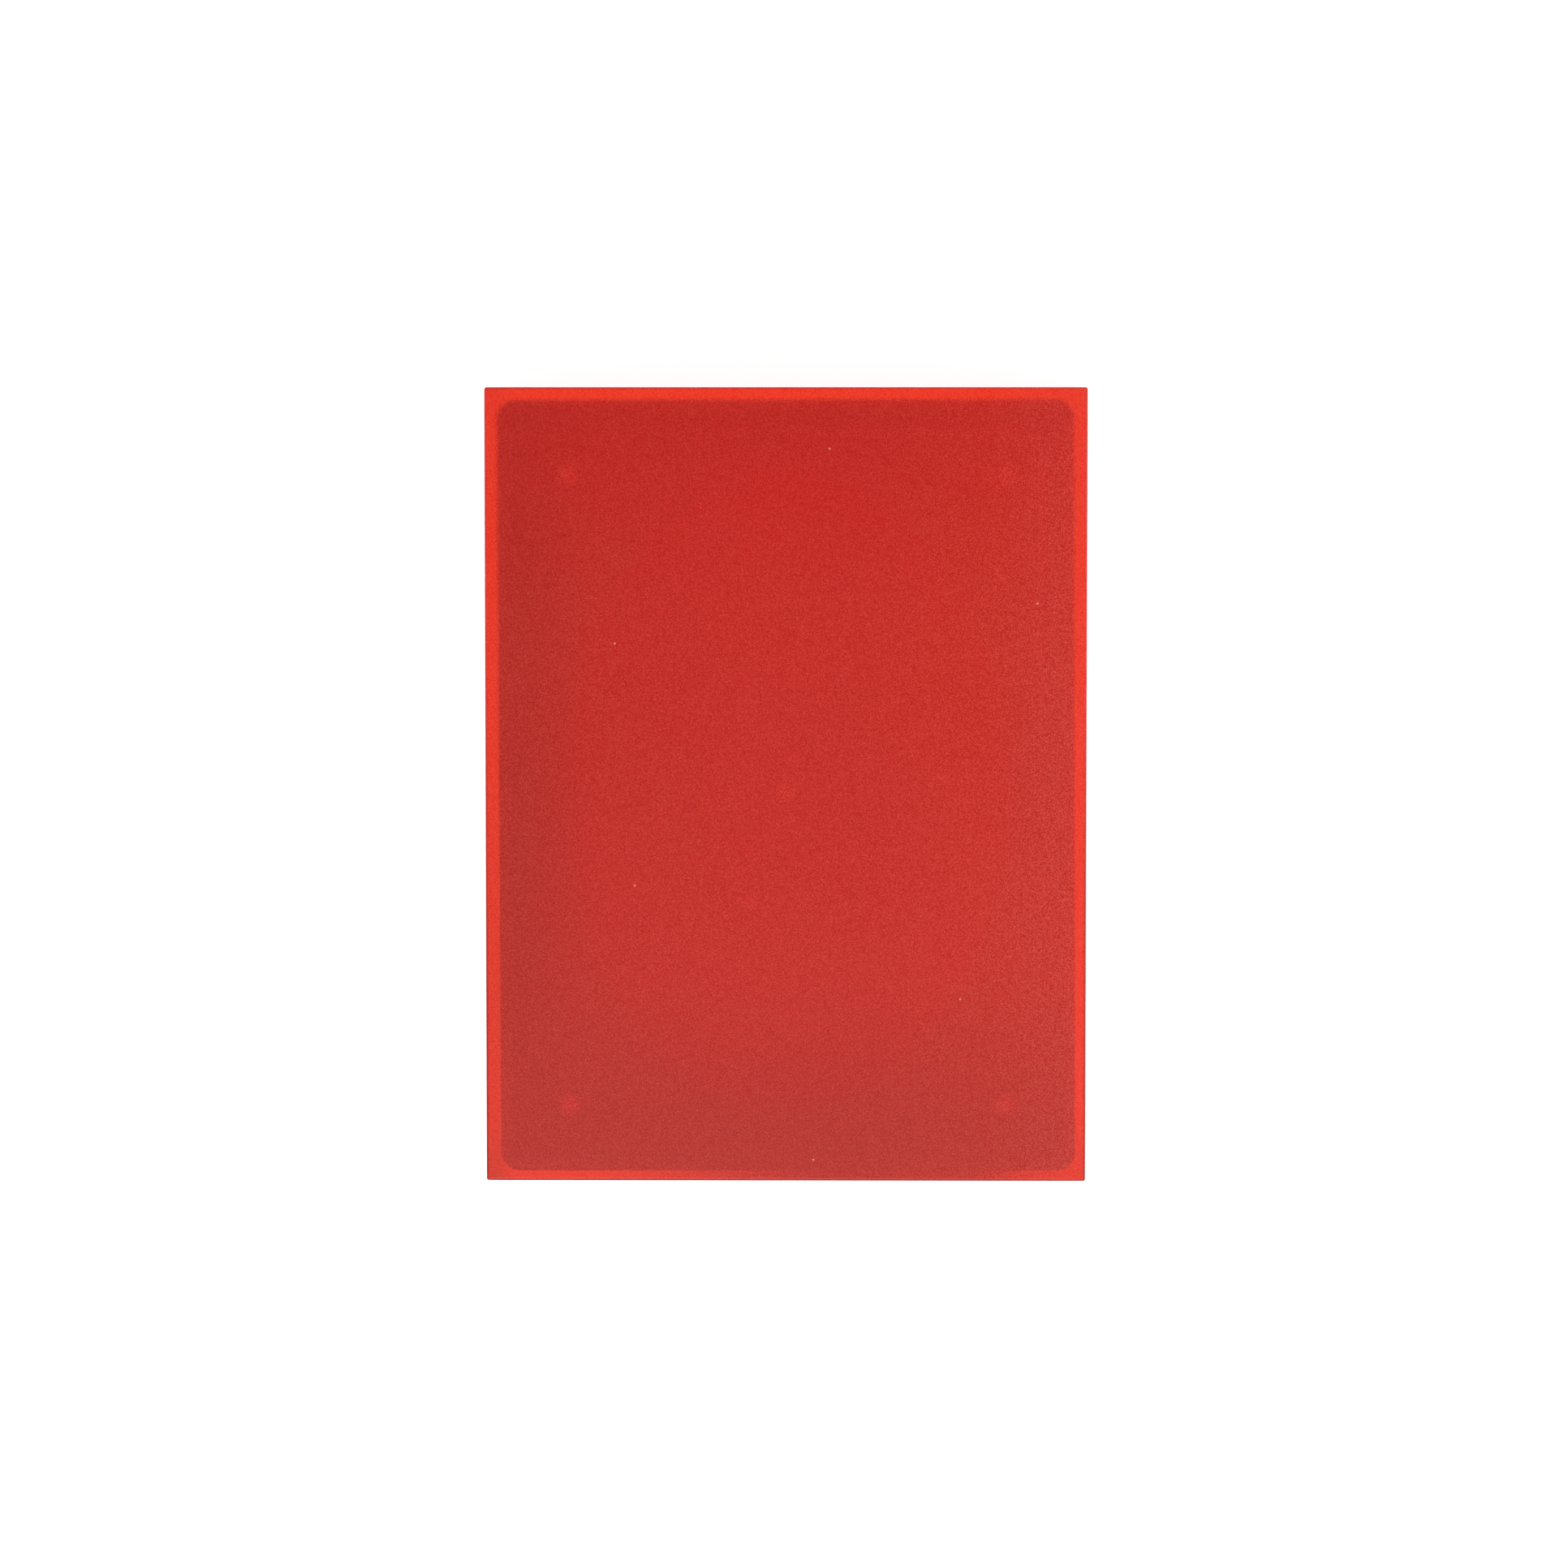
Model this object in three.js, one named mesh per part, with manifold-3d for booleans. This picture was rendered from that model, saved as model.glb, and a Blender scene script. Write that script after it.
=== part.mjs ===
// A craft ink pad: a raised, fabric-covered pad of inked foam in a frosted red plastic case.
// The lid lifts straight off the base tray. Millimetres, +Z up, +X across the width, +Y along the length.
// The origin is on the surface that the tray stands on, below the middle of the case.
import * as THREE from "three";
import { mergeVertices } from "three/addons/utils/BufferGeometryUtils.js";
import Module from "manifold-3d";

const wasm = await Module();
wasm.setup();

// ---- Driving dimensions ----

const CASE = { width: 76.2, length: 100.8, height: 19, cornerRadius: 0.5, edgeRadius: 0.4 };

const LID = {
  bottom: 6.2, // the parting line: its skirt ends here
  plate: 1.6,
  sideWall: 1.55,
  endWall: 1.37,
  innerRadius: 2.4,
  coreShiftX: 0.08, // the mould's core sat a little off centre and askew,
  coreShiftY: -0.2, // so the walls are not quite even
  coreTurn: THREE.MathUtils.degToRad(0.25),
};

const OVAL = { halfWidth: 28, halfLength: 40.7, depth: 0.2 }; // panel sunk in the plate's inside face
const EJECTOR = { x: 27.9, y: 40, radius: 1.25, depth: 0.15 }; // marks left by the mould's ejector pins
const GATE = { radius: 1.1, height: 0.4 }; // stub where the plastic entered the mould

const TRAY = {
  ledge: 6, // top of the outer wall, which the lid lands on
  rimTop: 10.2,
  rimPlay: 0.45, // between the lid's skirt and the rim that it slides over
  rimRadius: 2.6,
  rimWall: 1.2,
  floorBottom: 0.8,
  floor: 1.6,
  footWidth: 5, // the flat ring that the tray stands on
  recessRadius: 2,
};

const BEAD = { y: 25, z: 8.2, length: 10, proud: 0.2, radius: 0.8 }; // grips the lid's skirt
const RIB = { width: 12, thickness: 1.2, height: 2, play: 0.15, offset: 0.28 }; // keeps the deck in place

const DECK = { height: 7, plate: 1.4, wall: 1.2, web: 1, inset: 0.6, cornerRadius: 1.5, rows: 4, columns: 2 };

const PAD = {
  width: 63.5,
  length: 88.9,
  height: 6.6,
  cornerRadius: 2,
  topRadius: 1.4,
  cloth: 0.35, // thickness of the woven cover
  hem: 6.5, // how far the cover is turned in under the board
  slack: 0.05, // between the cover and what it wraps
};

const GLUE = { thickness: 0.2, inset: 1 };
const BOARD = { thickness: 1.2 };
const LABEL = { thickness: 0.15, inset: 4, cornerRadius: 2 };

const ARC_STEPS = 8;
const OVAL_STEPS = 48;
const MARK_STEPS = 24;

// ---- Shapes ----

function roundedRectangle(width, length, radius) {
  const [x, y] = [width / 2 - radius, length / 2 - radius];
  const outline = new THREE.Shape();
  outline.absarc(x, y, radius, 0, Math.PI / 2);
  outline.absarc(-x, y, radius, Math.PI / 2, Math.PI);
  outline.absarc(-x, -y, radius, Math.PI, 1.5 * Math.PI);
  outline.absarc(x, -y, radius, 1.5 * Math.PI, 2 * Math.PI);
  return outline;
}

// A slab with upright sides, from z = low to z = high.
function slab(width, length, radius, low, high) {
  const outline = roundedRectangle(width, length, radius);
  const options = { depth: high - low, bevelEnabled: false, curveSegments: ARC_STEPS };
  return new THREE.ExtrudeGeometry(outline, options).translate(0, 0, low);
}

// A slab whose top and bottom edges are rounded.
function softSlab(width, length, radius, low, high, edge) {
  const outline = roundedRectangle(width - 2 * edge, length - 2 * edge, Math.max(radius - edge, 0.05));
  const options = {
    depth: high - low - 2 * edge,
    bevelSize: edge,
    bevelThickness: edge,
    bevelSegments: 4,
    curveSegments: ARC_STEPS,
  };
  return new THREE.ExtrudeGeometry(outline, options).translate(0, 0, low + edge);
}

function box(width, length, low, high, x = 0, y = 0) {
  return new THREE.BoxGeometry(width, length, high - low).translate(x, y, (low + high) / 2);
}

function disc(radius, low, high, x = 0, y = 0) {
  return new THREE.CylinderGeometry(radius, radius, high - low, MARK_STEPS)
    .rotateX(Math.PI / 2)
    .translate(x, y, (low + high) / 2);
}

function ovalSlab(halfWidth, halfLength, low, high) {
  const outline = new THREE.Shape();
  outline.absellipse(0, 0, halfWidth, halfLength, 0, 2 * Math.PI);
  const options = { depth: high - low, bevelEnabled: false, curveSegments: OVAL_STEPS / 4 };
  return new THREE.ExtrudeGeometry(outline, options).translate(0, 0, low);
}

// ---- Joining and cutting ----

function solid(geometry) {
  const bare = geometry.clone();
  bare.deleteAttribute("normal");
  bare.deleteAttribute("uv");
  const merged = mergeVertices(bare, 1e-4);
  return new wasm.Manifold(
    new wasm.Mesh({
      numProp: 3,
      vertProperties: new Float32Array(merged.attributes.position.array),
      triVerts: new Uint32Array(merged.index.array),
    }),
  );
}

function geometryOf(manifold) {
  const mesh = manifold.getMesh();
  const geometry = new THREE.BufferGeometry();
  geometry.setAttribute("position", new THREE.BufferAttribute(mesh.vertProperties, 3));
  geometry.setIndex(new THREE.BufferAttribute(mesh.triVerts, 1));
  return geometry;
}

const join = (first, ...others) => others.reduce((made, next) => made.add(solid(next)), first);
const cut = (first, ...others) => others.reduce((made, next) => made.subtract(solid(next)), first);

const BEYOND = 5; // how far a cutting shape reaches past the face that it opens

// ---- The case ----

function makeLid() {
  const top = CASE.height;
  const inside = top - LID.plate;
  const shell = solid(
    softSlab(CASE.width, CASE.length, CASE.cornerRadius, LID.bottom - BEYOND, top, CASE.edgeRadius),
  );
  const below = box(CASE.width + BEYOND, CASE.length + BEYOND, LID.bottom - 2 * BEYOND, LID.bottom);
  const cavity = slab(
    CASE.width - 2 * LID.sideWall,
    CASE.length - 2 * LID.endWall,
    LID.innerRadius,
    LID.bottom - BEYOND,
    inside,
  )
    .rotateZ(LID.coreTurn)
    .translate(LID.coreShiftX, LID.coreShiftY, 0);
  const panel = ovalSlab(OVAL.halfWidth, OVAL.halfLength, inside - BEYOND, inside + OVAL.depth);
  const marks = [];
  for (const x of [-EJECTOR.x, EJECTOR.x])
    for (const y of [-EJECTOR.y, EJECTOR.y])
      marks.push(disc(EJECTOR.radius, inside - BEYOND, inside + EJECTOR.depth, x, y));
  const gate = disc(GATE.radius, inside + OVAL.depth - GATE.height, inside + OVAL.depth + LID.plate / 2);
  return geometryOf(join(cut(shell, below, cavity, panel, ...marks), gate));
}

function makeTray() {
  const rim = {
    width: CASE.width - 2 * (LID.sideWall + TRAY.rimPlay),
    length: CASE.length - 2 * (LID.endWall + TRAY.rimPlay),
  };
  const inner = {
    width: rim.width - 2 * TRAY.rimWall,
    length: rim.length - 2 * TRAY.rimWall,
    radius: TRAY.rimRadius - TRAY.rimWall,
  };
  const floorTop = TRAY.floorBottom + TRAY.floor;
  const outer = solid(
    softSlab(CASE.width, CASE.length, CASE.cornerRadius, 0, TRAY.ledge + BEYOND, CASE.edgeRadius),
  );
  const above = box(CASE.width + BEYOND, CASE.length + BEYOND, TRAY.ledge, TRAY.ledge + 2 * BEYOND);
  const rimSlab = slab(rim.width, rim.length, TRAY.rimRadius, floorTop, TRAY.rimTop);
  const well = slab(inner.width, inner.length, inner.radius, floorTop, TRAY.rimTop + BEYOND);
  const recess = slab(
    CASE.width - 2 * TRAY.footWidth,
    CASE.length - 2 * TRAY.footWidth,
    TRAY.recessRadius,
    -BEYOND,
    TRAY.floorBottom,
  );
  const shell = cut(join(cut(outer, above), rimSlab, ...snapBeads(rim.width)), well, recess);
  return geometryOf(join(shell, ...locatingRibs(floorTop)));
}

// Low beads along the rim's long sides, which the lid's skirt is pressed over.
function snapBeads(rimWidth) {
  const centreIn = BEAD.radius - BEAD.proud;
  const beads = [];
  for (const side of [-1, 1])
    for (const y of [-BEAD.y, BEAD.y])
      beads.push(
        new THREE.CylinderGeometry(BEAD.radius, BEAD.radius, BEAD.length, MARK_STEPS).translate(
          side * (rimWidth / 2 - centreIn),
          y,
          BEAD.z,
        ),
      );
  return beads;
}

// Two ribs along each side of the deck, standing on the tray's floor.
function locatingRibs(floorTop) {
  const deck = deckSize();
  const foot = floorTop - TRAY.floor / 2;
  const fromX = deck.width / 2 + RIB.play + RIB.thickness / 2;
  const fromY = deck.length / 2 + RIB.play + RIB.thickness / 2;
  const ribs = [];
  for (const side of [-1, 1])
    for (const along of [-RIB.offset, RIB.offset]) {
      const top = floorTop + RIB.height;
      ribs.push(box(RIB.thickness, RIB.width, foot, top, side * fromX, along * deck.length));
      ribs.push(box(RIB.width, RIB.thickness, foot, top, along * deck.width, side * fromY));
    }
  return ribs;
}

// ---- The pad and what carries it ----

function deckSize() {
  return { width: PAD.width - 2 * DECK.inset, length: PAD.length - 2 * DECK.inset };
}

const deckBottom = TRAY.floorBottom + TRAY.floor;
const deckTop = deckBottom + DECK.height;
const padBottom = deckTop + GLUE.thickness;
const boardBottom = padBottom + PAD.cloth;
const boardTop = boardBottom + BOARD.thickness;
const padTop = padBottom + PAD.height;
const foamTop = padTop - PAD.cloth - PAD.slack;

// An upturned tray: the pad is glued to its plate, and webs stiffen it from below.
function makeCarrier() {
  const { width, length } = deckSize();
  const cell = {
    width: (width - 2 * DECK.wall - (DECK.columns - 1) * DECK.web) / DECK.columns,
    length: (length - 2 * DECK.wall - (DECK.rows - 1) * DECK.web) / DECK.rows,
  };
  const cells = [];
  for (let column = 0; column < DECK.columns; column++)
    for (let row = 0; row < DECK.rows; row++) {
      const x = (column - (DECK.columns - 1) / 2) * (cell.width + DECK.web);
      const y = (row - (DECK.rows - 1) / 2) * (cell.length + DECK.web);
      cells.push(box(cell.width, cell.length, deckBottom - BEYOND, deckTop - DECK.plate, x, y));
    }
  const block = solid(slab(width, length, DECK.cornerRadius, deckBottom, deckTop));
  return geometryOf(cut(block, ...cells));
}

function makeGlueSheet() {
  const { width, length } = deckSize();
  return slab(width - 2 * GLUE.inset, length - 2 * GLUE.inset, DECK.cornerRadius, deckTop, padBottom);
}

// What is inside the cover is smaller than it by the cloth and a little slack.
function coreSize() {
  const in2 = 2 * (PAD.cloth + PAD.slack);
  return { width: PAD.width - in2, length: PAD.length - in2, radius: PAD.cornerRadius - in2 / 2 };
}

function makeBoard() {
  const core = coreSize();
  return slab(core.width, core.length, core.radius, boardBottom, boardTop);
}

function makeFoam() {
  const core = coreSize();
  const edge = PAD.topRadius - PAD.cloth;
  const block = solid(softSlab(core.width, core.length, core.radius, boardTop - BEYOND, foamTop, edge));
  return geometryOf(cut(block, box(PAD.width, PAD.length, boardTop - 2 * BEYOND, boardTop)));
}

// The woven cover: a skin over the foam and down the sides, turned in under the board.
function makeCover() {
  const core = coreSize();
  const skinEdge = PAD.topRadius;
  const skin = solid(
    softSlab(PAD.width, PAD.length, PAD.cornerRadius, padBottom - BEYOND, padTop, skinEdge),
  );
  const inside = solid(
    softSlab(
      core.width + 2 * PAD.slack,
      core.length + 2 * PAD.slack,
      core.radius + PAD.slack,
      boardBottom - BEYOND,
      padTop - PAD.cloth,
      skinEdge - PAD.cloth,
    ),
  ).subtract(solid(box(PAD.width, PAD.length, boardBottom - 2 * BEYOND, boardBottom)));
  const window = box(PAD.width - 2 * PAD.hem, PAD.length - 2 * PAD.hem, padBottom - BEYOND, boardBottom + 0.1);
  const closed = cut(skin, box(PAD.width + 1, PAD.length + 1, padBottom - 2 * BEYOND, padBottom));
  return geometryOf(cut(closed.subtract(inside), window));
}

function makeLabel() {
  return slab(
    CASE.width - 2 * (TRAY.footWidth + LABEL.inset),
    CASE.length - 2 * (TRAY.footWidth + LABEL.inset),
    LABEL.cornerRadius,
    TRAY.floorBottom - LABEL.thickness,
    TRAY.floorBottom,
  );
}

// ---- Materials and the assembly ----

const FROSTED_RED = { color: 0xd93a2e, roughness: 0.5, metalness: 0, transparent: true, opacity: 0.9 };
const TRAY_RED = { color: 0xcf3429, roughness: 0.4, metalness: 0 };
const DECK_WHITE = { color: 0xe9e6e1, roughness: 0.45, metalness: 0 };
const GLUE_FILM = { color: 0xe6dfc8, roughness: 0.3, metalness: 0 };
const GREY_BOARD = { color: 0xb9b2a6, roughness: 0.9, metalness: 0 };
const INKED_FOAM = { color: 0x8e1418, roughness: 0.9, metalness: 0 };
const INKED_CLOTH = { color: 0xa3161b, roughness: 0.7, metalness: 0 };
const LABEL_PAPER = { color: 0xf2f0ea, roughness: 0.7, metalness: 0 };

function piece(name, geometry, finish) {
  const mesh = new THREE.Mesh(geometry, new THREE.MeshStandardMaterial(finish));
  mesh.name = name;
  return mesh;
}

const inkPad = new THREE.Group();
const base = new THREE.Group();
const pad = new THREE.Group();

base.add(
  piece("base_tray", makeTray(), TRAY_RED),
  piece("pad_carrier", makeCarrier(), DECK_WHITE),
  piece("base_label", makeLabel(), LABEL_PAPER),
);
pad.add(
  piece("adhesive_sheet", makeGlueSheet(), GLUE_FILM),
  piece("backing_board", makeBoard(), GREY_BOARD),
  piece("foam_core", makeFoam(), INKED_FOAM),
  piece("pad_cover", makeCover(), INKED_CLOTH),
);
inkPad.add(base, pad, piece("lid", makeLid(), FROSTED_RED));

export default inkPad;
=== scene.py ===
# %% [markdown]
# # A craft ink pad, finished in Blender
#
# The object is a frosted red plastic case, 76 by 101 mm, with a raised pad of inked foam inside.
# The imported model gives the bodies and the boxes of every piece. This script makes the surfaces
# that are looked at: the moulded lid and tray with their rounded edges, the stretched woven cover
# of the pad, and a node material for everything.

# %% Load the fixed frame
import math

import bmesh
import bpy
import numpy as np
from mathutils import Matrix, Vector


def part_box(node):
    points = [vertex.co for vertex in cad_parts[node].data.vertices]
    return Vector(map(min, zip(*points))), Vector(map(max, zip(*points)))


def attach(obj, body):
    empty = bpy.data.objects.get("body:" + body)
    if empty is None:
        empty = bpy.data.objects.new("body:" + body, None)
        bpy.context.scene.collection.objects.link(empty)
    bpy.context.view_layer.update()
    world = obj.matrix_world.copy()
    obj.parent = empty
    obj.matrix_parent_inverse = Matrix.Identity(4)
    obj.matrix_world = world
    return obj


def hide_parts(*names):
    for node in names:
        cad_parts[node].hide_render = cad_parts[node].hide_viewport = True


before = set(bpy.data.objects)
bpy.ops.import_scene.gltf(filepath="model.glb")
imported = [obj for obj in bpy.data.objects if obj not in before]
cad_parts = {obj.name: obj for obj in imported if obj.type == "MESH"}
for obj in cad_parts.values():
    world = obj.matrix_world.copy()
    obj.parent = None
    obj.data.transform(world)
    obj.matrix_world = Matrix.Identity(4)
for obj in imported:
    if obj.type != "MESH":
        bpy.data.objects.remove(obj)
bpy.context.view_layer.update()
print("nodes:", sorted(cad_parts))

# %% [markdown]
# ## Sizes
#
# Shapes are drawn in millimetres, because that is how a moulding is dimensioned, and are scaled to
# metres once, when a mesh is made. Outer sizes come from the frame's boxes. What a box can't say,
# such as the thickness of a wall, is named here.

# %% Sizes of the case
MM = 0.001


def size_of(node):
    """The width, length, lowest and highest point of a node, in millimetres."""
    low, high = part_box(node)
    return (high.x - low.x) / MM, (high.y - low.y) / MM, low.z / MM, high.z / MM


CASE_WIDTH, CASE_LENGTH, PARTING, LID_TOP = size_of("lid")
_, _, _, RIM_TOP = size_of("base_tray")
PAD_WIDTH, PAD_LENGTH, PAD_BOTTOM, PAD_TOP = size_of("pad_cover")
DECK_WIDTH, DECK_LENGTH, FLOOR_TOP, DECK_TOP = size_of("pad_carrier")
LABEL_WIDTH, LABEL_LENGTH, _, RECESS_TOP = size_of("base_label")

# the case and the lid
# An outline is (width, length, corner radius). The cavity's has a shift and a turn as well.
CASE_CORNER = 0.3
CASE_OUTLINE = (CASE_WIDTH, CASE_LENGTH, CASE_CORNER)
CORE_SHIFT, CORE_TURN = Vector((0.11, -0.1)), math.radians(0.2)
LID_SIDE_WALL, LID_END_WALL, LID_PLATE = 1.60, 1.42, 1.6
UNDER_PLATE = LID_TOP - LID_PLATE
CAVITY = (CASE_WIDTH / 2 - LID_SIDE_WALL, CASE_LENGTH / 2 - LID_END_WALL, 2.4)
CAVITY_OUTLINE = (2 * CAVITY[0], 2 * CAVITY[1], CAVITY[2], CORE_SHIFT, CORE_TURN)
OVAL, OVAL_DEPTH, OVAL_Y = (56.4, 80.6), 0.2, -0.5
PIN_X, PIN_Y, PIN_RADIUS, PIN_DEPTH = 27.75, 40.0, 1.25, 0.15
PIN_SHIFT = Vector((0.17, -0.7))
GATE_RADIUS, GATE_HEIGHT, GATE_Y = 1.1, 0.5, -0.9

# the tray
LEDGE, RIM_PLAY, RIM_WALL = 6.0, 0.40, 1.2
RIM = (CAVITY_OUTLINE[0] - 2 * RIM_PLAY, CAVITY_OUTLINE[1] - 2 * RIM_PLAY, 2.6)
WELL_OUTLINE = (RIM[0] - 2 * RIM_WALL, RIM[1] - 2 * RIM_WALL, RIM[2] - RIM_WALL)
FOOT_WIDTH = 5.0
RECESS_OUTLINE = (CASE_WIDTH - 2 * FOOT_WIDTH, CASE_LENGTH - 2 * FOOT_WIDTH, 2.0)
BEAD_Y, BEAD_Z, BEAD_SIZE, BEAD_PROUD = 25.0, 8.2, (1.2, 10.0, 1.2), 0.16
RIB_LENGTH, RIB_THICKNESS, RIB_HEIGHT, RIB_ROOT = 12.0, 1.2, 2.0, 0.4
RIB_AWAY, RIB_OFFSET = 0.75, 0.28

# the pad's deck
DECK_PLATE, DECK_WALL, DECK_WEB = 1.4, 1.2, 1.0
DECK_OUTLINE = (DECK_WIDTH, DECK_LENGTH, 1.5)
DECK_INSIDE = (DECK_WIDTH - 2 * DECK_WALL, DECK_LENGTH - 2 * DECK_WALL, 0.5)

# the pad's cover: three radii, how far it turns in under the board, and its thickness
PAD_CORNER, PAD_EDGE, PAD_UNDER_EDGE, HEM, CLOTH = 2.0, 1.4, 0.5, 6.5, 0.3

# radii of the moulded edges: in a cavity's bottom, on a lip, and round the outer top and foot
INNER_EDGE, LIP_EDGE, TOP_EDGE = 0.6, 0.15, 0.35
print(f"case {CASE_WIDTH:.1f} x {CASE_LENGTH:.1f} x {LID_TOP:.1f} mm, parted at {PARTING:.1f}")

# %% [markdown]
# ## Camera
#
# The case is seen from almost straight above. Two small angles tip the view towards the back end
# and the right side, and the long lens keeps the sides of the case out of sight.

# %% Camera
CAMERA_DISTANCE = 0.7
CAMERA_TILT, CAMERA_LEAN = math.radians(3.6), math.radians(0.67)
CAMERA_AIM = Vector((-0.22, 0.23, LID_TOP)) * MM
CAMERA_LENS = 126.83


def make_camera():
    away = Vector(
        (
            math.sin(CAMERA_LEAN),
            math.sin(CAMERA_TILT) * math.cos(CAMERA_LEAN),
            math.cos(CAMERA_TILT) * math.cos(CAMERA_LEAN),
        )
    ).normalized()
    right = Vector((0, 1, 0)).cross(away).normalized()
    turn = Matrix((right, away.cross(right), away)).transposed()
    data = bpy.data.cameras.new("camera")
    data.lens = CAMERA_LENS
    data.clip_start = 0.01
    camera = bpy.data.objects.new("camera", data)
    camera.matrix_world = Matrix.Translation(CAMERA_AIM + away * CAMERA_DISTANCE) @ turn.to_4x4()
    bpy.context.scene.collection.objects.link(camera)
    bpy.context.scene.camera = camera
    return camera


camera = make_camera()
print("camera at", [round(x, 3) for x in camera.location])

# %% [markdown]
# ## Light
#
# A frosted surface shows the light twice: once through the plastic's colour, and once as a pale
# haze where it mirrors something bright. The sky is a ring of soft boxes halfway up, dim overhead
# and dim below the ring, so it lights the case from all sides, and veils neither the lid seen from
# above nor the walls seen from the side. One small lamp in front, high up, makes the haze grow
# towards the front. The floor glows a little, as a light table does, so shadows on it stay pale.

# %% Lamp
LAMP_PLACE, LAMP_AIM = Vector((-0.03, -0.29, 0.52)), Vector((0.0, -0.02, 0.02))
LAMP_WIDTH, LAMP_WATTS = 0.16, 1.05


def make_lamp():
    data = bpy.data.lights.new("lamp", "AREA")
    data.shape = "SQUARE"
    data.size = LAMP_WIDTH
    data.energy = LAMP_WATTS
    lamp = bpy.data.objects.new("lamp", data)
    lamp.location = LAMP_PLACE
    lamp.rotation_euler = (LAMP_AIM - LAMP_PLACE).to_track_quat("-Z", "Y").to_euler()
    bpy.context.scene.collection.objects.link(lamp)


make_lamp()
bpy.context.scene.view_settings.view_transform = "Standard"
print("lamp:", LAMP_WATTS, "watts")

# %% [markdown]
# ## Writing shaders as sums
#
# A pattern is arithmetic on coordinates. Wiring Math nodes by hand hides that, so a wire here is a
# small class: adding or multiplying wires adds the Math nodes. Everything else in a tree comes
# from one method, `node`, that takes the node's type, its settings and its inputs.

# %% Wires and boards
# sockets found by number: the colour ones of Mix, and Object of Texture Coordinate
MIX_FACTOR, MIX_FIRST, MIX_SECOND, MIX_RESULT = 0, 6, 7, 2
OBJECT_COORDINATES = 3


class Wire:
    """One value in a node tree."""

    def __init__(self, board, socket):
        self.board, self.socket = board, socket

    def maths(self, operation, *others):
        inputs = dict(enumerate((self, *others)))
        return self.board.node("ShaderNodeMath", {"operation": operation}, inputs)

    def flipped(self, operation, other):
        return self.board.node("ShaderNodeMath", {"operation": operation}, {0: other, 1: self})

    def __add__(self, other):
        return self.maths("ADD", other)

    def __sub__(self, other):
        return self.maths("SUBTRACT", other)

    def __rsub__(self, other):
        return self.flipped("SUBTRACT", other)

    def __mul__(self, other):
        return self.maths("MULTIPLY", other)

    def __truediv__(self, other):
        return self.maths("DIVIDE", other)

    def __abs__(self):
        return self.maths("ABSOLUTE")

    __radd__ = __add__
    __rmul__ = __mul__

    def most(self, other):
        return self.maths("MAXIMUM", other)

    def least(self, other):
        return self.maths("MINIMUM", other)

    def root(self):
        return self.maths("SQRT")

    def sine(self):
        return self.maths("SINE")

    def step(self, start, end):
        """0 at start and 1 at end, with a smooth rise between them."""
        settings = {"interpolation_type": "SMOOTHSTEP"}
        return self.board.node(
            "ShaderNodeMapRange", settings, {"Value": self, "From Min": start, "From Max": end}
        )


class Board:
    """A node tree that nodes are added to."""

    def __init__(self, tree):
        self.tree = tree

    def node(self, kind, settings=None, inputs=None, output=0):
        """Adds a node: its settings first, then its inputs, as values or wires.
        Returns one output."""
        made = self.tree.nodes.new(kind)
        for name, value in (settings or {}).items():
            setattr(made, name, value)
        for key, value in (inputs or {}).items():
            if isinstance(value, Wire):
                self.tree.links.new(value.socket, made.inputs[key])
            else:
                made.inputs[key].default_value = value
        return Wire(self, made.outputs[output])

    def mix(self, factor, first, second, blend="MIX"):
        """Two colours mixed."""
        settings = {"data_type": "RGBA", "blend_type": blend}
        inputs = {MIX_FACTOR: factor, MIX_FIRST: first, MIX_SECOND: second}
        return self.node("ShaderNodeMix", settings, inputs, MIX_RESULT)

    def parts(self, vector):
        """The x, y and z of a vector, each a wire."""
        first = self.node("ShaderNodeSeparateXYZ", None, {0: vector})
        return [Wire(self, first.socket.node.outputs[k]) for k in range(3)]

    def vector(self, x, y, z):
        return self.node("ShaderNodeCombineXYZ", None, {0: x, 1: y, 2: z})

    def noise(self, vector, scale, detail=2.0, roughness=0.5):
        return self.node(
            "ShaderNodeTexNoise",
            None,
            {"Vector": vector, "Scale": scale, "Detail": detail, "Roughness": roughness},
        )

    def bump(self, height, strength, distance):
        inputs = {"Height": height, "Strength": strength, "Distance": distance}
        return self.node("ShaderNodeBump", None, inputs)


def rounded_box_distance(x, y, half_width, half_length, radius):
    """How far a point is outside a rounded rectangle. It is negative inside."""
    over_x = abs(x) - (half_width - radius)
    over_y = abs(y) - (half_length - radius)
    corner = (over_x.most(0.0) * over_x.most(0.0) + over_y.most(0.0) * over_y.most(0.0)).root()
    return corner + over_x.most(over_y).least(0.0) - radius


def new_material(name):
    """A material with a board, its Principled shader, and object coordinates in millimetres."""
    material = bpy.data.materials.new(name)
    material.use_nodes = True
    board = Board(material.node_tree)
    shader = material.node_tree.nodes["Principled BSDF"]
    coordinates = board.node("ShaderNodeTexCoord", output=OBJECT_COORDINATES)
    millimetres = board.node(
        "ShaderNodeVectorMath", {"operation": "SCALE"}, {0: coordinates, "Scale": 1 / MM}
    )
    return material, board, shader, millimetres


def feed(shader, **inputs):
    """Sets a shader's sockets, by name with _ for a space, to values or wires."""
    for key, value in inputs.items():
        socket = shader.inputs[key.replace("_", " ")]
        if isinstance(value, Wire):
            value.board.tree.links.new(value.socket, socket)
        else:
            socket.default_value = value


# %% Sky and floor
SKY, RING, HORIZON = 0.2, 2.25, 0.9  # strength everywhere, and how much the ring and horizon add
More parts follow.
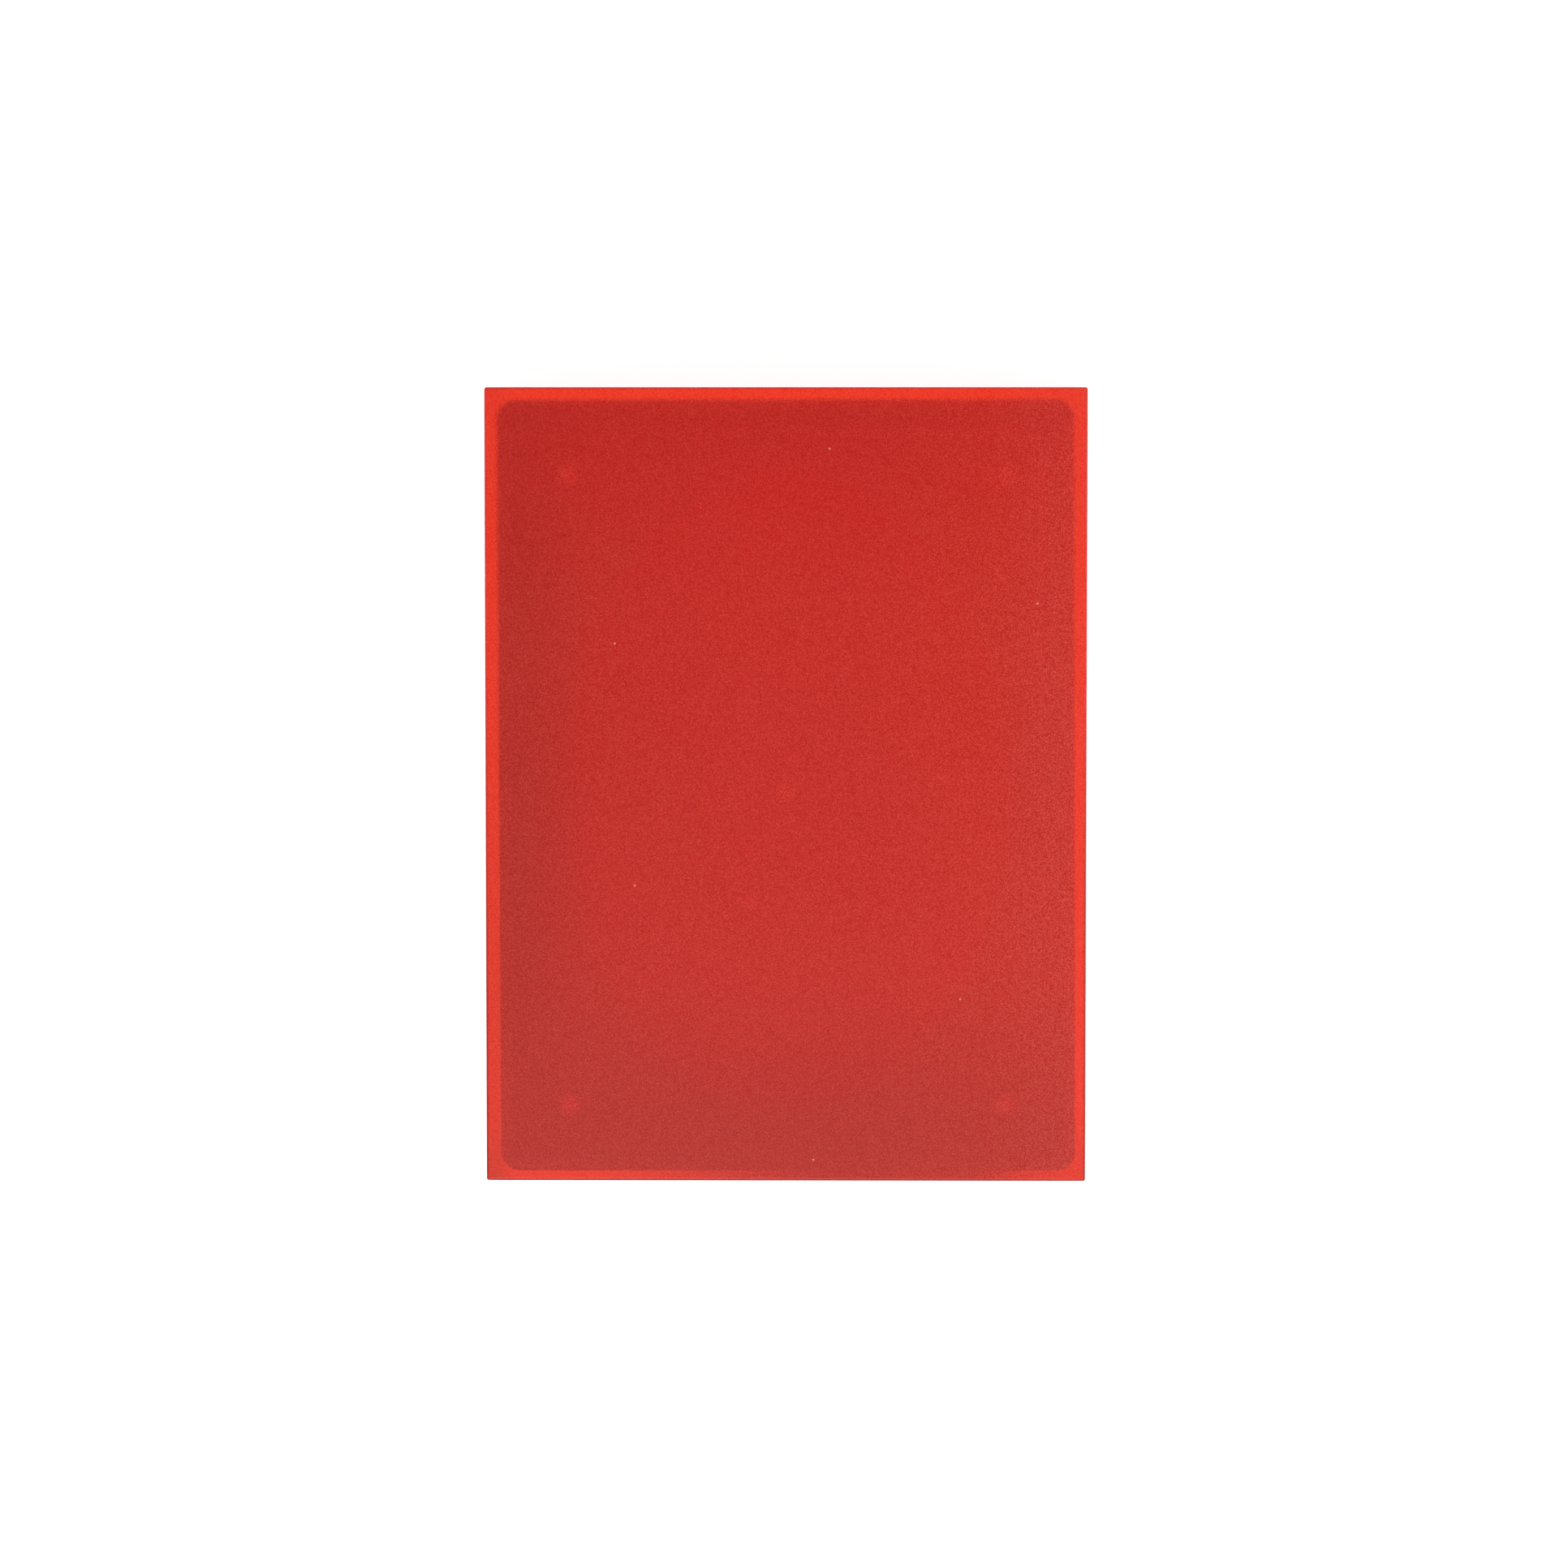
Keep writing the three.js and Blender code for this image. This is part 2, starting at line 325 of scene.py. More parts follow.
# each band of the sky as a pair: the heights, from -1 to 1, where it begins and where it is full
RING_LOWER, RING_UPPER, HORIZON_BAND = (0.48, 0.64), (0.86, 0.74), (0.22, 0.0)
FLOOR_SIZE, FLOOR_GLOW = 3.0, 0.58
FLOOR_DROP = 0.05  # millimetres below the case, so that two faces don't lie in one plane
FLOOR_WHITE = (0.75, 0.75, 0.75, 1)


def make_sky():
    """A world with a bright ring halfway up and a pale horizon."""
    world = bpy.data.worlds.new("sky")
    world.use_nodes = True
    bpy.context.scene.world = world
    board = Board(world.node_tree)
    up = board.parts(board.node("ShaderNodeTexCoord"))[2]
    ring = up.step(*RING_LOWER) * up.step(*RING_UPPER)
    strength = ring * RING + up.step(*HORIZON_BAND) * HORIZON + SKY
    background = world.node_tree.nodes["Background"]
    background.inputs["Color"].default_value = (1, 1, 1, 1)
    board.tree.links.new(strength.socket, background.inputs["Strength"])


def floor_finish():
    """White paper on a light table, so a shadow on it is never dark."""
    material, _, shader, _ = new_material("studio_floor")
    feed(
        shader,
        Base_Color=FLOOR_WHITE,
        Roughness=0.8,
        Specular_IOR_Level=0.1,
        Emission_Color=(1, 1, 1, 1),
        Emission_Strength=FLOOR_GLOW,
    )
    return material


def make_floor():
    half = FLOOR_SIZE / 2
    corners = [(-half, -half), (half, -half), (half, half), (-half, half)]
    mesh = bpy.data.meshes.new("floor")
    mesh.from_pydata([(x, y, -FLOOR_DROP * MM) for x, y in corners], [], [(0, 1, 2, 3)])
    mesh.materials.append(floor_finish())
    floor = bpy.data.objects.new("floor", mesh)
    bpy.context.scene.collection.objects.link(floor)


make_sky()
make_floor()
print("floor:", FLOOR_SIZE, "m square")

# %% [markdown]
# ## Moulded shapes as lofted rings
#
# Every moulding here is a rounded rectangle that changes size as it rises, so its wall can be drawn
# as a profile: corners with a radius each, from the middle of one face, round its edges, to the
# middle of the other. Each stop on the profile is one ring of points, and faces join the rings.
# An extra stop just past each rounded edge keeps the shading of the flat face flat.

# %% Rings and profiles
ARC_POINTS = 10
EDGE_STOPS = 5
HOLD = 0.05  # how far past a rounded edge the extra stop lies
LEAST_RADIUS = 0.1
SHARP_ANGLE = math.radians(32)
CENTRED = Vector((0, 0))


def ring(width, length, radius, shift=CENTRED, turn=0.0):
    """The points round a rounded rectangle."""
    points = []
    for quarter in range(4):
        x = (width / 2 - radius) * (1 if quarter in (0, 3) else -1)
        y = (length / 2 - radius) * (1 if quarter in (0, 1) else -1)
        for stop in range(ARC_POINTS + 1):
            angle = (quarter + stop / ARC_POINTS) * math.pi / 2
            points.append(Vector((x + radius * math.cos(angle), y + radius * math.sin(angle))))
    spin = Matrix.Rotation(turn, 2)
    return [spin @ point + shift for point in points]


def rounded_profile(*corners):
    """Stops (inset, height) along a path of square corners (inset, height, radius).
    The first and last corner only say where the path comes from and goes to."""
    stops = []
    for before, here, after in zip(corners, corners[1:], corners[2:]):
        corner, radius = Vector(here[:2]), here[2]
        back = (Vector(before[:2]) - corner).normalized()
        ahead = (Vector(after[:2]) - corner).normalized()
        centre = corner + (back + ahead) * radius
        stops.append(corner + back * (radius + HOLD))
        for step in range(EDGE_STOPS + 1):
            angle = step / EDGE_STOPS * math.pi / 2
            stops.append(centre - (ahead * math.cos(angle) + back * math.sin(angle)) * radius)
        stops.append(corner + ahead * (radius + HOLD))
    return stops


def wall(outline, *corners):
    """The rings of a profile round an outline (width, length, radius, and its shift and turn)."""
    width, length, radius, *placed = outline
    rings = []
    for inset, height in rounded_profile(*corners):
        round_by = max(radius - inset, LEAST_RADIUS)
        rings.append((ring(width - 2 * inset, length - 2 * inset, round_by, *placed), height))
    return rings


# %% Lofts
def mesh_object(name, mesh):
    made = bpy.data.objects.new(name, mesh)
    bpy.context.scene.collection.objects.link(made)
    return made


def evaluated_mesh(piece):
    """The piece's mesh with its modifiers run."""
    graph = bpy.context.evaluated_depsgraph_get()
    return bpy.data.meshes.new_from_object(piece.evaluated_get(graph))


def mark_sharp(bm):
    """Smooth shading everywhere but over edges that really are sharp."""
    for face in bm.faces:
        face.smooth = True
    for edge in bm.edges:
        edge.smooth = len(edge.link_faces) != 2 or edge.calc_face_angle(0) < SHARP_ANGLE


def loft(name, rings):
    """A closed mesh through rings of points, in millimetres, with a cap at each end."""
    bm = bmesh.new()
    rows = [[bm.verts.new((p.x * MM, p.y * MM, z * MM)) for p in points] for points, z in rings]
    for lower, upper in zip(rows, rows[1:]):
        for k in range(len(lower)):
            after = (k + 1) % len(lower)
            bm.faces.new((lower[k], lower[after], upper[after], upper[k]))
    bm.faces.new(rows[0])
    bm.faces.new(rows[-1])
    bmesh.ops.recalc_face_normals(bm, faces=bm.faces)
    mark_sharp(bm)
    mesh = bpy.data.meshes.new(name)
    bm.to_mesh(mesh)
    bm.free()
    print(f"{name}: {len(rings)} rings")
    return mesh_object(name, mesh)


def remark_sharp(piece):
    bm = bmesh.new()
    bm.from_mesh(piece.data)
    mark_sharp(bm)
    bm.to_mesh(piece.data)
    bm.free()


# %% [markdown]
# ## Repeated features by Geometry Nodes
#
# Pin marks, ribs, beads and webs sit on small grids. A tree places one shape on each point of a
# grid, turns the copies into real faces, and adds them to the moulding or cuts them out of it.
# One function makes the four trees that are needed. Sizes, grid and material are a tree's inputs.

# %% Trees that add or cut a grid of shapes
SIDES, OVAL_SIDES, BEAD_SIDES = 40, 96, 24  # how many sides a round shape has


class Growth(Board):
    """A geometry tree with named inputs."""

    def __init__(self, name):
        super().__init__(bpy.data.node_groups.new(name, "GeometryNodeTree"))
        for way in ("INPUT", "OUTPUT"):
            kind = "NodeSocketGeometry"
            self.tree.interface.new_socket("Geometry", in_out=way, socket_type=kind)
        self.entry = self.tree.nodes.new("NodeGroupInput")
        self.exit = self.tree.nodes.new("NodeGroupOutput")

    def given(self, name, kind, value):
        """A named input with its usual value."""
        socket = self.tree.interface.new_socket(name, in_out="INPUT", socket_type=kind)
        if value is not None:
            socket.default_value = value
        return Wire(self, self.entry.outputs[name])


def grid_tree(name, operation, shape):
    """A tree that adds or cuts a grid of shapes: "box", "disc", or "bead", a rod along Y."""
    tree = Growth(name)
    size = tree.given("Shape Size", "NodeSocketVector", (1, 1, 1))
    sides = tree.given("Sides", "NodeSocketInt", SIDES)
    span_x = tree.given("Span X", "NodeSocketFloat", 0.0)
    span_y = tree.given("Span Y", "NodeSocketFloat", 0.0)
    columns = tree.given("Columns", "NodeSocketInt", 1)
    rows = tree.given("Rows", "NodeSocketInt", 1)
    middle = tree.given("Middle", "NodeSocketVector", (0, 0, 0))
    finish = tree.given("Material", "NodeSocketMaterial", None)
    grid_inputs = {"Size X": span_x, "Size Y": span_y, "Vertices X": columns, "Vertices Y": rows}
    grid = tree.node("GeometryNodeMeshGrid", None, grid_inputs)
    placed = tree.node("GeometryNodeTransform", None, {"Geometry": grid, "Translation": middle})
    points = tree.node("GeometryNodeMeshToPoints", None, {"Mesh": placed})
    if shape == "box":
        unit = tree.node("GeometryNodeMeshCube", None, {"Size": size})
    else:
        rod_inputs = {"Vertices": sides, "Radius": 0.5, "Depth": 1.0}
        rod = tree.node("GeometryNodeMeshCylinder", None, rod_inputs)
        along = (math.pi / 2, 0, 0) if shape == "bead" else (0, 0, 0)
        turned = tree.node("GeometryNodeTransform", None, {"Geometry": rod, "Rotation": along})
        unit = tree.node("GeometryNodeTransform", None, {"Geometry": turned, "Scale": size})
    copies = tree.node("GeometryNodeInstanceOnPoints", None, {"Points": points, "Instance": unit})
    real = tree.node("GeometryNodeRealizeInstances", None, {"Geometry": copies})
    shell = Wire(tree, tree.entry.outputs["Geometry"])
    first = "Mesh 1" if operation == "DIFFERENCE" else "Mesh 2"
    settings = {"operation": operation, "solver": "EXACT"}
    whole = tree.node("GeometryNodeMeshBoolean", settings, {first: shell})
    tree.tree.links.new(real.socket, whole.socket.node.inputs["Mesh 2"])
    flat = tree.node("GeometryNodeRealizeInstances", None, {"Geometry": whole})
    coloured = tree.node("GeometryNodeSetMaterial", None, {"Geometry": flat, "Material": finish})
    tree.tree.links.new(coloured.socket, tree.exit.inputs["Geometry"])
    return tree.tree


ADD_BOXES = grid_tree("add_boxes", "UNION", "box")
ADD_BEADS = grid_tree("add_beads", "UNION", "bead")
ADD_DISCS = grid_tree("add_discs", "UNION", "disc")
CUT_DISCS = grid_tree("cut_discs", "DIFFERENCE", "disc")
print("trees:", [tree.name for tree in bpy.data.node_groups])


# %% Running a tree on a piece
def grow(piece, tree, finish, size, middle, span=(0, 0), count=(1, 1), sides=SIDES):
    """Runs a tree on a piece, with sizes in millimetres, and keeps the result as its mesh."""
    given = {
        "Shape Size": [value * MM for value in size],
        "Middle": [value * MM for value in middle],
        "Span X": span[0] * MM,
        "Span Y": span[1] * MM,
        "Columns": count[0],
        "Rows": count[1],
        "Sides": sides,
        "Material": finish,
    }
    modifier = piece.modifiers.new(tree.name, "NODES")
    modifier.node_group = tree
    for socket in tree.interface.items_tree:
        if socket.in_out == "INPUT" and socket.name in given:
            modifier[socket.identifier] = given[socket.name]
    made = evaluated_mesh(piece)
    piece.modifiers.clear()
    piece.data = made
    remark_sharp(piece)
    print(f"  {tree.name}: {piece.name} now has {len(made.polygons)} faces")


# %% [markdown]
# ## Frosted red plastic
#
# The plastic is dyed right through and its face is finely etched. Light that enters a wall wanders
# about in it, so thick walls glow, and the thin plate over the dark pad looks deeper. Subsurface
# scattering does this in the render. The wall zone is also painted a brighter colour, a painted
# glow, with a crisp inner edge, because that edge is the corner between wall and plate. The edge
# is softer towards the back. Along the front the painted glow fades to the right of the middle, and
# comes back at the corner. The tray's ledge and walls get the same painted glow. The plate gets
# painted shade along the left, the front and the back edge, painted light towards the right, a
# paler painted haze along the right, and the walls a painted dark line of shade along their top
# towards the front. The pin marks, the gate and the oval panel are where the plate is thinner, and
# so they are painted a little brighter, as painted light shining through; the oval is also painted
# less hazy. The pad's edge shows as a soft painted line of light, the grain carries painted glints
# of the haze, and a few specks of dust lie on the lid.

# %% Colours and grain of the plastic
# painted glow: the brighter red that the lid's walls and the tray's ledge and walls are painted
PAINTED_GLOW_COLOUR = (0.745, 0.032, 0.009, 1)
PLATE_COLOUR = (0.478, 0.0152, 0.0062, 1)
# painted haze: the pale sheen of reflected light, painted into the colour
PAINTED_HAZE_COLOUR = (0.60, 0.060, 0.045, 1)
# painted light, shining through where the plate is thin
LIGHT_THROUGH_COLOUR = (0.64, 0.026, 0.013, 1)
GRAIN_SCALE, GRAIN_DEPTH = 9.5, 0.03
# in green and blue the grain is also painted glints of the haze
GRAIN_AND_GLINT_IN_COLOUR = (0.95, 8.4, 17.0)  # how much the grain shows in red, green and blue
DUST_COLOUR, DUST_PITCH, DUST_SIZE = (0.80, 0.28, 0.22, 1), 37.0, 0.28
DUST_EDGE = (0.65, 0.35)  # where a speck begins and is full, as shares of its size
# the painted glow's inner edges are turned a little, the sides' more than the ends'
SIDES_TURN, ENDS_TURN = math.radians(0.22), math.radians(0.07)
# place, radius and strength of each mark where painted light shines through the plate
SPOTS = [
    (side * PIN_X + PIN_SHIFT.x, end * PIN_Y + PIN_SHIFT.y, PIN_RADIUS, 0.32)
    for side in (-1, 1)
    for end in (-1, 1)
]
SPOTS += [(0, GATE_Y, GATE_RADIUS, 0.3), (-4.6, -14.9, 0.9, 0.2)]


# %% Frosted plastic
def shaded(board, colour, amount):
    """A colour times a number that varies."""
    return board.mix(1.0, colour, board.vector(amount, amount, amount), "MULTIPLY")


def grain_and_glints(board, colour, grain, calm=0.0):
    """A colour with fine grain, stronger in the weak channels, where the pale haze shows, so that
    there it is painted glints of the haze as well as grain. The grain is weaker where calm is high."""
    uneven = (grain - 0.5) * (1.0 - calm)
    amounts = [(uneven * much + 1.0).most(0.1) for much in GRAIN_AND_GLINT_IN_COLOUR]
    return board.mix(1.0, colour, board.vector(*amounts), "MULTIPLY")


def frosted(name, roughness, depth):
    """Dyed plastic with a fine etched face, and its board, shader, coordinates and grain."""
    material, board, shader, at = new_material(name)
    grain = board.noise(at, GRAIN_SCALE, 1.0, 0.6)
    broad = board.noise(at, 0.05, 2.0)
    feed(
        shader,
        Roughness=(grain - 0.5) * 0.2 + (broad - 0.5) * 0.06 + roughness,
        Normal=board.bump(grain, 0.25, depth * MM),
        Specular_IOR_Level=0.32,
        Subsurface_Weight=0.8,
        Subsurface_Scale=0.9 * MM,
        Subsurface_Radius=(1.0, 0.25, 0.18),
        IOR=1.49,
    )
    return material, board, shader, at, grain


# %% Painted shade, haze and light on the lid, and dust
# A zone is a pair in millimetres: where it begins, and where it is full.
LEFT_HALF, LEFT_EDGE, RIGHT_HALF = (0.0, -27.0), (-22.0, -37.5), (5.0, 30.0)
BACK_HALF, BACK_PART, BACK_EDGE = (0.0, 30.0), (30.0, 48.0), (38.0, 49.0)
FRONT_PART = (-20.0, -46.0)
# zones of painted haze: paler at the right, clearer at the back
HAZY_RIGHT, CLEAR_BACK = (5.0, 38.0), (15.0, 46.0)
# how much painted shade or painted light the plate gets in a zone, and how much painted haze
# pales its red
LEFT_SHADE, LEFT_EDGE_SHADE, FRONT_SHADE, BACK_EDGE_SHADE = 0.04, 0.115, 0.13, 0.04
LEFT_LESS_AT_BACK, RIGHT_BRIGHTER, BACK_BRIGHTER, PLATE_SHADE_BASE = 0.4, 0.05, 0.02, 1.01
RIGHT_PALER, BACK_CLEARER, PLATE_HAZE = 0.3, 0.35, 1.05
# the painted line of light over the pad's edge: how much wider than the pad it is, its corner,
# its two sides, and the zones that it comes in
LINE_WIDER, LINE_CORNER, LINE_INSIDE, LINE_OUTSIDE = 0.6, 2.5, (-1.1, 0.0), (0.9, 0.0)
LINE_IN_X, LINE_IN_Y = (-20.0, 25.0), (-5.0, 35.0)


def ellipse(x, y, half_width, half_length):
    """1 on an ellipse's rim, and less inside."""
    x, y = x / half_width, y / half_length
    return (x * x + y * y).root()


def dust(board, at):
    """1 on a few tiny specks, one in each cell of a coarse pattern, and 0 elsewhere."""
    cells = board.node(
        "ShaderNodeTexVoronoi",
        {"voronoi_dimensions": "2D"},
        {"Vector": at, "Scale": 1 / DUST_PITCH},
    )
    return cells.step(*(DUST_SIZE * share / DUST_PITCH for share in DUST_EDGE))


def painted_plate_shade(x, y):
    """Painted shade and light on the plate: least bright along the left, the front and the back."""
    front, back = y.step(*FRONT_PART), y.step(*BACK_PART)
    left = x.step(*LEFT_HALF) * LEFT_SHADE + x.step(*LEFT_EDGE) * LEFT_EDGE_SHADE
    left = left * (1.0 - front) * (1.0 - back * LEFT_LESS_AT_BACK)
    ends = y.step(*BACK_HALF) * BACK_BRIGHTER - y.step(*BACK_EDGE) * BACK_EDGE_SHADE
    ends = ends - front * FRONT_SHADE
    return x.step(*RIGHT_HALF) * RIGHT_BRIGHTER + ends - left + PLATE_SHADE_BASE


def painted_plate_haze(x, y):
    """Painted haze: how pale the plate's red is painted, less so at the back, and more along the
    right.
    """
    return x.step(*HAZY_RIGHT) * RIGHT_PALER - y.step(*CLEAR_BACK) * BACK_CLEARER + PLATE_HAZE


def painted_pad_line(x, y):
    """A soft painted line of light over the pad's edge, which shows through the plate at the back
    and right.
    """
    half_width, half_length = PAD_WIDTH / 2 + LINE_WIDER, PAD_LENGTH / 2
    beyond_pad = rounded_box_distance(x, y, half_width, half_length, LINE_CORNER)
    line = beyond_pad.step(*LINE_INSIDE) * beyond_pad.step(*LINE_OUTSIDE)
    return line * y.step(*LINE_IN_Y) * x.step(*LINE_IN_X)


# %% Painted glow of the walls
UPRIGHT = (-0.42, -0.1)  # from the case's outline, inwards
# painted glow on the upright faces, next to their top and their foot
GLOW_UNDER_TOP, TOP_GLOW = (4.0, 0.8), 0.22  # from a face's top, downwards
GLOW_OVER_FOOT, FOOT_GLOW = 1.6, 0.4
# the border's inner edge gets softer in a zone, and a little painted light spills over it
SOFTENING, SOFT, SOFTER, EDGE_OUTWARDS = (-35, 50), 0.14, 0.34, 0.2
SPILL_REACH, SPILL = (-2.4, 0.0), 0.08
# along the front the painted glow fades from the left, and ends on the right
FADE_FRONT, FADE_FROM, FADE_TO, FADE = (-46.5, -49.2), (-28.0, 8.0), (22.0, 37.0), 0.92


def upright(x, y):
    """1 on the case's upright faces, and 0 inside their rounded upper edge."""
    half_width, half_length = CASE_WIDTH / 2, CASE_LENGTH / 2
    return rounded_box_distance(x, y, half_width, half_length, CASE_CORNER).step(*UPRIGHT)


def painted_side_glow(z, bottom, top):
    """The painted glow on an upright face: strongest next to its top and bottom edges."""
    high = z.step(*(top - below for below in GLOW_UNDER_TOP))
    return high * TOP_GLOW + z.step(bottom + GLOW_OVER_FOOT, bottom) * FOOT_GLOW


def painted_wall_glow(x, y):
    """How much painted glow the lid's top gets: 1 over its walls, and 0 inside them."""
    off_x, off_y = x - CORE_SHIFT.x, y - CORE_SHIFT.y
    core_x = off_x + off_y * math.tan(SIDES_TURN)
    core_y = off_y - off_x * math.tan(ENDS_TURN)
    beyond_core = rounded_box_distance(core_x, core_y, *CAVITY)
    softness = y.step(*SOFTENING) * SOFTER + SOFT
    in_wall = (beyond_core / softness + EDGE_OUTWARDS).step(-1.0, 1.0)
    spill = beyond_core.step(*SPILL_REACH) * SPILL
    faded = y.step(*FADE_FRONT) * x.step(*FADE_FROM) * (1.0 - x.step(*FADE_TO)) * FADE
    return in_wall.most(spill) * (1.0 - faded)


# %% Finish of the lid and the tray, with their painted glow, shade and haze
FRONTWARDS = (20.0, -30.0)
# how much painted shade dims the walls in a zone, the left one more towards the front
DIM_FRONT, DIM_LEFT = (-42.0, -49.0), (-34.0, -37.0)
FRONT_DIMMER, LEFT_DIMMER, LEFT_FRONT_DIMMER = 0.08, 0.07, 0.09
# painted haze along the right edge
HAZY_EDGE, HAZY_MIX = (24.0, 38.0), 0.14
# a painted dark line of shade along the top of the walls, just under the lid's top edge
RIM_SHADE_BAND, RIM_SHADE_DARKER = (0.5, 0.2), 0.3  # from the lid's top, downwards
SPOT_EDGE, OVAL_EDGE = (1.5, 0.4), (1.05, 0.95)  # as shares of the radius
# strength of the painted line of light, how much clearer and brighter the oval is painted, and dust
LINE_STRENGTH, OVAL_CLEARER, OVAL_BRIGHTER, DUST_STRENGTH = 0.1, 0.1, 0.03, 0.6
CALM = 0.6  # how much weaker the grain is where the walls glow
# painted glow on the tray's ledge, next to its rim
LEDGE_ZONE, LEDGE_GLOW = (-3.0, 0.5), 0.8  # from the tray's rim, outwards


def painted_light_through(x, y):
    """Painted light through the plate: the pad's edge and the marks under it, a little brighter."""
    thin = painted_pad_line(x, y) * LINE_STRENGTH
    for spot_x, spot_y, radius, strength in SPOTS:
        spot = ellipse(x - spot_x, y - spot_y, radius, radius).step(*SPOT_EDGE)
        thin = thin.most(spot * strength)
    return thin


def plate_colour(board, x, y):
    """The plate's colour, with painted shade and haze, the oval panel painted brighter and less
    hazy, and painted light at the thin places.
    """
    oval = ellipse(x, y - OVAL_Y, OVAL[0] / 2, OVAL[1] / 2).step(*OVAL_EDGE)
    haze = painted_plate_haze(x, y) - oval * OVAL_CLEARER
    tint = board.vector(oval * OVAL_BRIGHTER + 1.0, haze, haze)
    # painted shade and light over the plate's colour
    colour = shaded(board, PLATE_COLOUR, painted_plate_shade(x, y))
    colour = board.mix(1.0, colour, tint, "MULTIPLY")
    return board.mix(painted_light_through(x, y), colour, LIGHT_THROUGH_COLOUR)


def lid_finish():
    material, board, shader, at, grain = frosted("frosted_red_lid", 0.40, GRAIN_DEPTH)
    x, y, z = board.parts(at)
    side, front = upright(x, y), y.step(*FRONTWARDS)
    # painted glow over the lid's walls, on its top and its upright faces
    glow = painted_wall_glow(x, y) * (1.0 - side) + painted_side_glow(z, PARTING, LID_TOP) * side
    # painted shade on the walls, at the front and along the left
    left_dim = x.step(*DIM_LEFT) * (front * LEFT_FRONT_DIMMER + LEFT_DIMMER)
    dim = y.step(*DIM_FRONT) * FRONT_DIMMER + left_dim
    colour = board.mix(glow, plate_colour(board, x, y), shaded(board, PAINTED_GLOW_COLOUR, 1.0 - dim))
    # painted shade along the top of the walls, towards the front
    rim_shade = z.step(*(LID_TOP - below for below in RIM_SHADE_BAND)) * side * front
    colour = shaded(board, colour, 1.0 - rim_shade * RIM_SHADE_DARKER)
    # painted haze along the right edge
    colour = board.mix(x.step(*HAZY_EDGE) * HAZY_MIX, colour, PAINTED_HAZE_COLOUR)
    colour = grain_and_glints(board, colour, grain, glow * CALM)
    speck = dust(board, at) * DUST_STRENGTH
    feed(shader, Base_Color=board.mix(speck, colour, DUST_COLOUR))
    return material


def tray_finish():
    material, board, shader, at, grain = frosted("frosted_red_tray", 0.36, GRAIN_DEPTH / 2)
    x, y, z = board.parts(at)
    beyond_rim = rounded_box_distance(x, y, RIM[0] / 2, RIM[1] / 2, RIM[2])
    side = upright(x, y)
    # painted glow on the tray's ledge and upright faces
    painted_ledge_glow = beyond_rim.step(*LEDGE_ZONE) * (1.0 - side) * LEDGE_GLOW
    glow = painted_ledge_glow + painted_side_glow(z, 0, LEDGE) * side
    colour = board.mix(glow, PLATE_COLOUR, PAINTED_GLOW_COLOUR)
    feed(shader, Base_Color=grain_and_glints(board, colour, grain))
    return material


LID_FINISH, TRAY_FINISH = lid_finish(), tray_finish()
print("plastic:", LID_FINISH.name, TRAY_FINISH.name)

# %% [markdown]
# ## The lid
#
# A flat plate with four walls. The core of the mould sat a hair off centre and askew, so the
# cavity is shifted and turned by a fifth of a degree inside a square outline. Under the plate are
# a shallow oval panel, the marks of the four pins that pushed the lid off the core, and the stub
# of the gate that the plastic came in by.

# %% Lid
def keep(piece, body, slot, *nodes):
    """Hides the model's nodes that a piece stands for, and parents it to the body it moves with."""
    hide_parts(*nodes)
    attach(piece, body)


def make_lid():
    rings = wall(
        CAVITY_OUTLINE,
        (5, UNDER_PLATE, 0),
        (0, UNDER_PLATE, INNER_EDGE),
        (0, PARTING, LIP_EDGE),
        (-1, PARTING, 0),
    )
    rings += wall(
        CASE_OUTLINE,
        (1, PARTING, 0),
        (0, PARTING, LIP_EDGE),
        (0, LID_TOP, TOP_EDGE),
        (5, LID_TOP, 0),
    )
    lid = loft("lid_shell", rings)
    under = (0, OVAL_Y, UNDER_PLATE)
    grow(lid, CUT_DISCS, LID_FINISH, (*OVAL, 2 * OVAL_DEPTH), under, sides=OVAL_SIDES)
    pin = (2 * PIN_RADIUS, 2 * PIN_RADIUS, 2 * PIN_DEPTH)
    pins = (*PIN_SHIFT, UNDER_PLATE)
    grow(lid, CUT_DISCS, LID_FINISH, pin, pins, (2 * PIN_X, 2 * PIN_Y), (2, 2))
    stub = (2 * GATE_RADIUS, 2 * GATE_RADIUS, GATE_HEIGHT)
    grow(lid, ADD_DISCS, LID_FINISH, stub, (0, GATE_Y, UNDER_PLATE + OVAL_DEPTH))
    keep(lid, "lid", "lid_plastic", "lid")


make_lid()

# %% [markdown]
# ## The tray
#
# The tray stands on a flat ring, with a recess for the label inside the ring. Its outer wall is
# flush with the lid's and ends in the ledge that the lid lands on. The rim inside the ledge has
# four low beads that the lid snaps over. Eight ribs on the floor keep the pad's deck in place.

